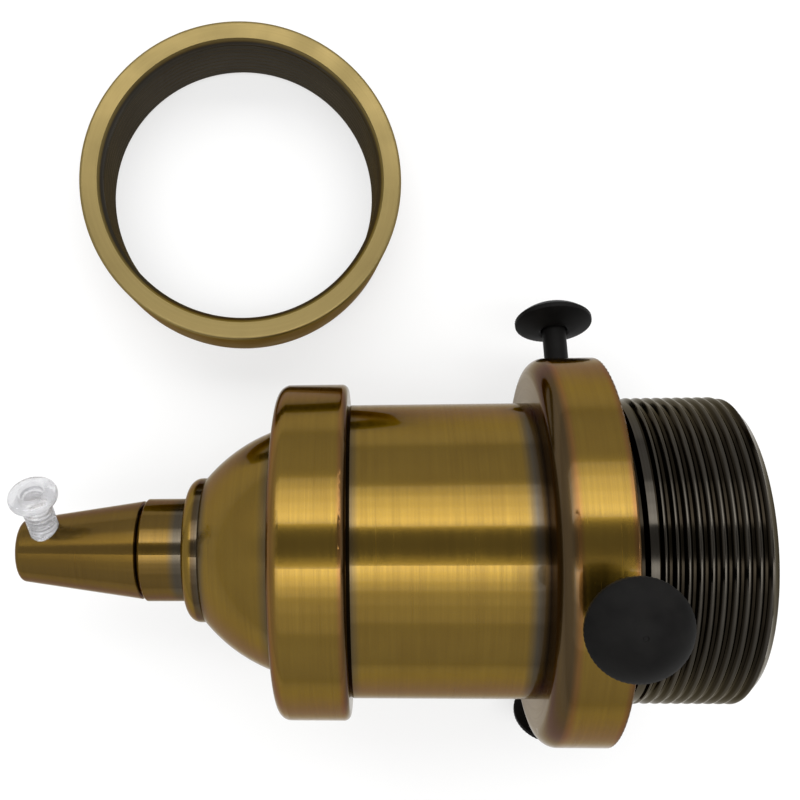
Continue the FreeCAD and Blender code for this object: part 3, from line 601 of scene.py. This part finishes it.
def screw_shell(material):
    """Rolled shell that the bulb screws into."""
    low, high = HOLDER.span("screw_shell")
    bore = MOUNTS["bulb_socket"]["dims"]["r_mm"] * MM
    outer = bore + BULB_WALL
    floor_bore, _ = HOLDER.radii("screw_shell", low - PROBE, low + FLOOR_PROBE)
    crest = bore - BULB_DEPTH
    start, end = low + BULB_FOOT, high - BULB_LIP
    inside = thread_rows(start, end, BULB_PITCH, bore, crest, BULB_RUN_OUT, shape=ROUND_SHAPE)
    outside = [[(station, radius + BULB_WALL) for station, radius in row] for row in reversed(inside)]
    foot = plain_rows([(low, floor_bore), (low + BULB_WALL, floor_bore), (low + BULB_WALL, bore)])
    lip = plain_rows([(high, bore), (high, outer)])
    back = plain_rows([(low, outer), (low, floor_bore)])
    mesh = grid_mesh(HOLDER, foot + inside + lip + outside + back)
    return make_piece("screw_shell_rolled", mesh, material, "holder", "screw_shell")


def grip_screw(material):
    """Clear screw that holds the cord, with its thread and a round driver recess."""
    screw = Screw("grip_screw", GRIP_FACE_BAND)
    tip, top, face = screw.tip, screw.top, screw.head_face
    root = screw.shank - GRIP_DEPTH
    rim = screw.head_radius - GRIP_EDGE
    start, end = tip + GRIP_POINT, face - GRIP_NECK
    thread = thread_rows(start, end, GRIP_PITCH, root, screw.shank, GRIP_RUN_OUT, columns=GRIP_COLUMNS)
    point = [(tip, 0.0), (tip, root - GRIP_TAPER)]
    neck = [(face - GRIP_FLARE, root + GRIP_NECK_RISE), (face, screw.shank + GRIP_FLARE)]
    under = arc((face + GRIP_EDGE, rim), GRIP_EDGE, math.pi, math.pi / 2)
    slope = GRIP_CROWN * (top - face - 2 * GRIP_EDGE)
    over = arc((top - slope - GRIP_EDGE, rim), GRIP_EDGE, math.pi / 2, math.pi / 6)
    dish = [
        (top - GRIP_DISH_DEPTH, GRIP_RECESS + GRIP_DISH), (top, GRIP_RECESS + GRIP_LIP),
        (top - GRIP_LIP, GRIP_RECESS),
    ]
    bottom = top - GRIP_RECESS_DEPTH
    well = [(bottom, 0.85 * GRIP_RECESS), (bottom, 0.4 * GRIP_RECESS), (bottom + GRIP_RECESS_CONE, 0.0)]
    rows = plain_rows(point, GRIP_COLUMNS) + thread
    rows += plain_rows(neck + under + over + dish + well, GRIP_COLUMNS)
    mesh = grid_mesh(screw, rows)
    return make_piece("grip_screw_cut", mesh, material, "grip_screw", "grip_screw")


def dome_points(start, top, radius):
    """Points of a shallow dome that rises from a radius to its top, without its two ends."""
    height = top - start
    ball = (radius ** 2 + height ** 2) / (2 * height)
    widest = math.asin(radius / ball)
    angles = [widest * (1 - step / THUMB_DOME_STEPS) for step in range(1, THUMB_DOME_STEPS)]
    return [(top - ball + ball * math.cos(angle), ball * math.sin(angle)) for angle in angles]


def thumb_screw(side, material):
    """Thumb screw with a domed head, a knurled rim and a small gate mark."""
    node = "thumb_screw_" + side
    screw = Screw(node, THUMB_FACE_BAND)
    tip, top, face, stem = screw.tip, screw.top, screw.head_face, screw.shank
    rim = screw.head_radius - THUMB_EDGE
    dome_start = face + THUMB_RIM
    point = [(tip, 0.0), (tip, stem - THUMB_POINT), (tip + THUMB_POINT, stem)]
    boss = arc((face - THUMB_BOSS, stem + THUMB_BOSS), -THUMB_BOSS, math.pi / 2, 0.0)
    under = arc((face + THUMB_EDGE, rim), THUMB_EDGE, math.pi, math.pi / 2, steps=5)
    dome = dome_points(dome_start, top, screw.head_radius)
    gate = [
        (top - 0.05 * GATE_DEPTH, GATE_MOUTH), (top - 0.9 * GATE_DEPTH, GATE_RADIUS),
        (top - GATE_DEPTH, 0.0),
    ]
    plain = plain_rows(point + boss + under[:1], THUMB_COLUMNS)
    smooth = plain_rows(under[1:] + [(dome_start, screw.head_radius)], THUMB_COLUMNS)
    knurled = [rippled(row, KNURL_COUNT, KNURL_DEPTH) for row in smooth]
    mesh = grid_mesh(screw, plain + knurled + plain_rows(dome + gate, THUMB_COLUMNS))
    return make_piece(node + "_cut", mesh, material, node, node)


# ---------------------------------------------------------------- stage


def floor():
    """Plain pale floor that shows near white and keeps the object's shadow."""
    bpy.ops.mesh.primitive_plane_add(size=FLOOR_SIZE)
    plane = bpy.context.object
    plane.name = "floor"
    finish = Finish("floor_paper", {"Base Color": (*FLOOR_TONE, 1.0), "Roughness": 0.9})
    path = finish.add("ShaderNodeLightPath", {})
    direct = finish.math("ADD", path.outputs["Is Camera Ray"], path.outputs["Is Glossy Ray"])
    seen = finish.math("ADD", direct, path.outputs["Is Transmission Ray"])
    share = finish.math("MULTIPLY", finish.math("MINIMUM", seen, 1.0), FLOOR_GLOW)
    glow = finish.add("ShaderNodeEmission", {"Color": (1.0, 1.0, 1.0, 1.0), "Strength": 1.0})
    both = finish.add("ShaderNodeMixShader", {0: share, 1: finish.shader.outputs[0], 2: glow.outputs[0]})
    output = finish.tree.nodes["Material Output"]
    finish.tree.links.new(both.outputs[0], output.inputs["Surface"])
    plane.data.materials.append(finish.material)


def panel(low, high, brightness):
    """Strip of a long soft panel over the holder between two angles from straight up, towards +Y."""
    lamp = bpy.data.lights.new("panel", "AREA")
    lamp.shape = "RECTANGLE"
    lamp.size = PANEL_LENGTH
    lamp.size_y = 2 * PANEL_DISTANCE * math.tan(math.radians(high - low) / 2)
    lamp.energy = brightness * math.pi * lamp.size * lamp.size_y    # watts of a flat lamp that bright
    panel_object = bpy.data.objects.new("panel", lamp)
    middle = math.radians(low + high) / 2
    aim = HOLDER.point(PANEL_AIM, 0.0, 0.0)
    panel_object.location = aim + Vector((0, math.sin(middle), math.cos(middle))) * PANEL_DISTANCE
    panel_object.rotation_euler = (-middle, 0, 0)
    bpy.context.scene.collection.objects.link(panel_object)


def world():
    """Room light: even towards the sides, dim straight overhead."""
    world_data = bpy.data.worlds.new("room")
    bpy.context.scene.world = world_data
    world_data.use_nodes = True
    tree = world_data.node_tree
    coordinates = tree.nodes.new("ShaderNodeTexCoord")
    split = tree.nodes.new("ShaderNodeSeparateXYZ")
    tree.links.new(coordinates.outputs["Generated"], split.inputs[0])
    ramp = tree.nodes.new("ShaderNodeValToRGB")
    tree.links.new(split.outputs["Z"], ramp.inputs["Fac"])
    set_stops(ramp, [(height, (level, level, level * ROOM_BLUE)) for height, level in ROOM])
    tree.links.new(ramp.outputs["Color"], tree.nodes["Background"].inputs["Color"])


def camera():
    """Camera over the holder, looking almost straight down."""
    data = bpy.data.cameras.new("camera")
    data.lens = CAMERA_LENS
    data.sensor_width = CAMERA_SENSOR
    data.clip_start = CAMERA_CLIP
    data.shift_x, data.shift_y = CAMERA_SHIFT
    seat = bpy.data.objects.new("camera", data)
    turn = Matrix.Rotation(CAMERA_TURN.length, 4, CAMERA_TURN)
    seat.matrix_world = Matrix.Translation(CAMERA_PLACE) @ turn
    bpy.context.scene.collection.objects.link(seat)
    bpy.context.scene.camera = seat


def dress_brass():
    """Antique brass on the turned covers, from the cord end to the gallery, and on the nipple, with painted
    shade in the grooves and joints and painted reflections and highlights beside them.
    """
    # Dark stops in the grooves and joints are painted shade, grey stops beside them painted reflections of
    # the neighbouring parts, and copper stops on the rounded corners painted highlights
    tones = {
        "cord_grip": [(0.0, DEEP_BRASS), (16.8, DEEP_BRASS), (17.05, GAP_SHADE), (17.2, GAP_SHADE)],
        "neck_collar": [(17.2, GAP_SHADE), (17.5, DEEP_BRASS), (21.2, DEEP_BRASS), (22.2, GREY_REFLECTION), (23.4, GREY_REFLECTION)],
        "cap": [
            (23.4, BRASS), (24.7, BRASS), (25.0, CREASE_SHADE), (25.8, GREY_REFLECTION), (27.0, BRASS), (34.0, BRASS),
            (35.6, GREY_REFLECTION), (35.8, CREASE_SHADE), (36.2, COPPER_GLINT), (37.2, BRASS), (43.9, BRASS), (44.4, COPPER_GLINT),
            (44.9, CREASE_SHADE), (45.1, GAP_SHADE),
        ],
        "barrel": [(45.1, GREY_REFLECTION), (46.6, BRASS), (66.2, BRASS), (67.4, GREY_REFLECTION), (68.2, CREASE_SHADE), (68.7, GAP_SHADE)],
        "gallery_ring": [
            (68.7, CREASE_SHADE), (70.3, CREASE_SHADE), (71.0, COPPER_GLINT), (71.6, BRASS), (76.6, BRASS), (77.1, COPPER_GLINT),
            (77.55, CREASE_SHADE),
        ],
        "nipple": [(0.0, BRASS), (100.0, BRASS)],
    }
    for node, stops in tones.items():
        dress(node, antique_brass(node, stops))


def dress_inside():
    """Finishes of what the covers hide."""
    bright = plain_metal("bright_brass", BRIGHT_BRASS, 0.19, 0.32)
    steel = plain_metal("plated_steel", STEEL, 0.23, 0.36)
    for node in (
        "nipple_locknut", "earth_tag", "centre_contact", "live_terminal", "neutral_terminal",
        "terminal_rivets", "shell_rivets",
    ):
        dress(node, bright)
    for node in ("earth_screw", "terminal_screws"):
        dress(node, steel)
    dress("insert_body", glazed_porcelain())
    dress("insulating_washer", red_fibre())
    screw_shell(bright)


dress_brass()
dress_inside()
threaded_sleeve(thread_bronze())
shade_ring(satin_ring())
grip_screw(clear_nylon())
black = black_metal()
for side in ("top", "side", "prop"):
    thumb_screw(side, black)

floor()
for low, high, brightness in PANELS:
    panel(low, high, brightness)
world()
camera()

bpy.context.scene.view_settings.view_transform = "Standard"
